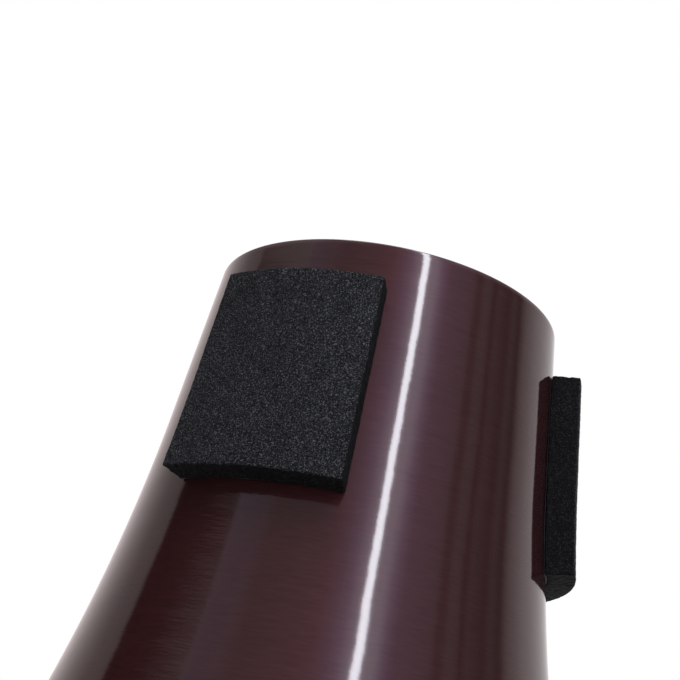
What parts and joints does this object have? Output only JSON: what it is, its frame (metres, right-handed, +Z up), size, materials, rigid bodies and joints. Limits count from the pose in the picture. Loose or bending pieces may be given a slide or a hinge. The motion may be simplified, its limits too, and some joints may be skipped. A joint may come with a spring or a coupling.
{
  "type": "trombone straight mute",
  "caption": "Hollow spun aluminium straight mute with a flared open neck, foam pads round it, and a closed round-shouldered bowl joined by a rolled seam.",
  "frame": {"origin": "centre of the flat ring that the mute stands on, on the axis of the body", "axes": "+Z up along the axis towards the open neck, -Y through the middle of foam_pad_1, +X to the right of it"},
  "size_m": [0.134, 0.134, 0.1962],
  "materials": {
    "wine_anodised_aluminium": "satin gloss, fine turned lines",
    "seam_sealant": "matt",
    "black_foam": "matt, fine-celled foam",
    "adhesive_sheet": "matt"
  },
  "bodies": {
    "root": {"body_cone": "wine_anodised_aluminium", "end_bowl": "wine_anodised_aluminium", "seam_sealant": "seam_sealant", "foam_pad_1": "black_foam", "foam_pad_2": "black_foam", "foam_pad_3": "black_foam", "pad_adhesive_1": "adhesive_sheet", "pad_adhesive_2": "adhesive_sheet", "pad_adhesive_3": "adhesive_sheet"}
  },
  "joints": []
}
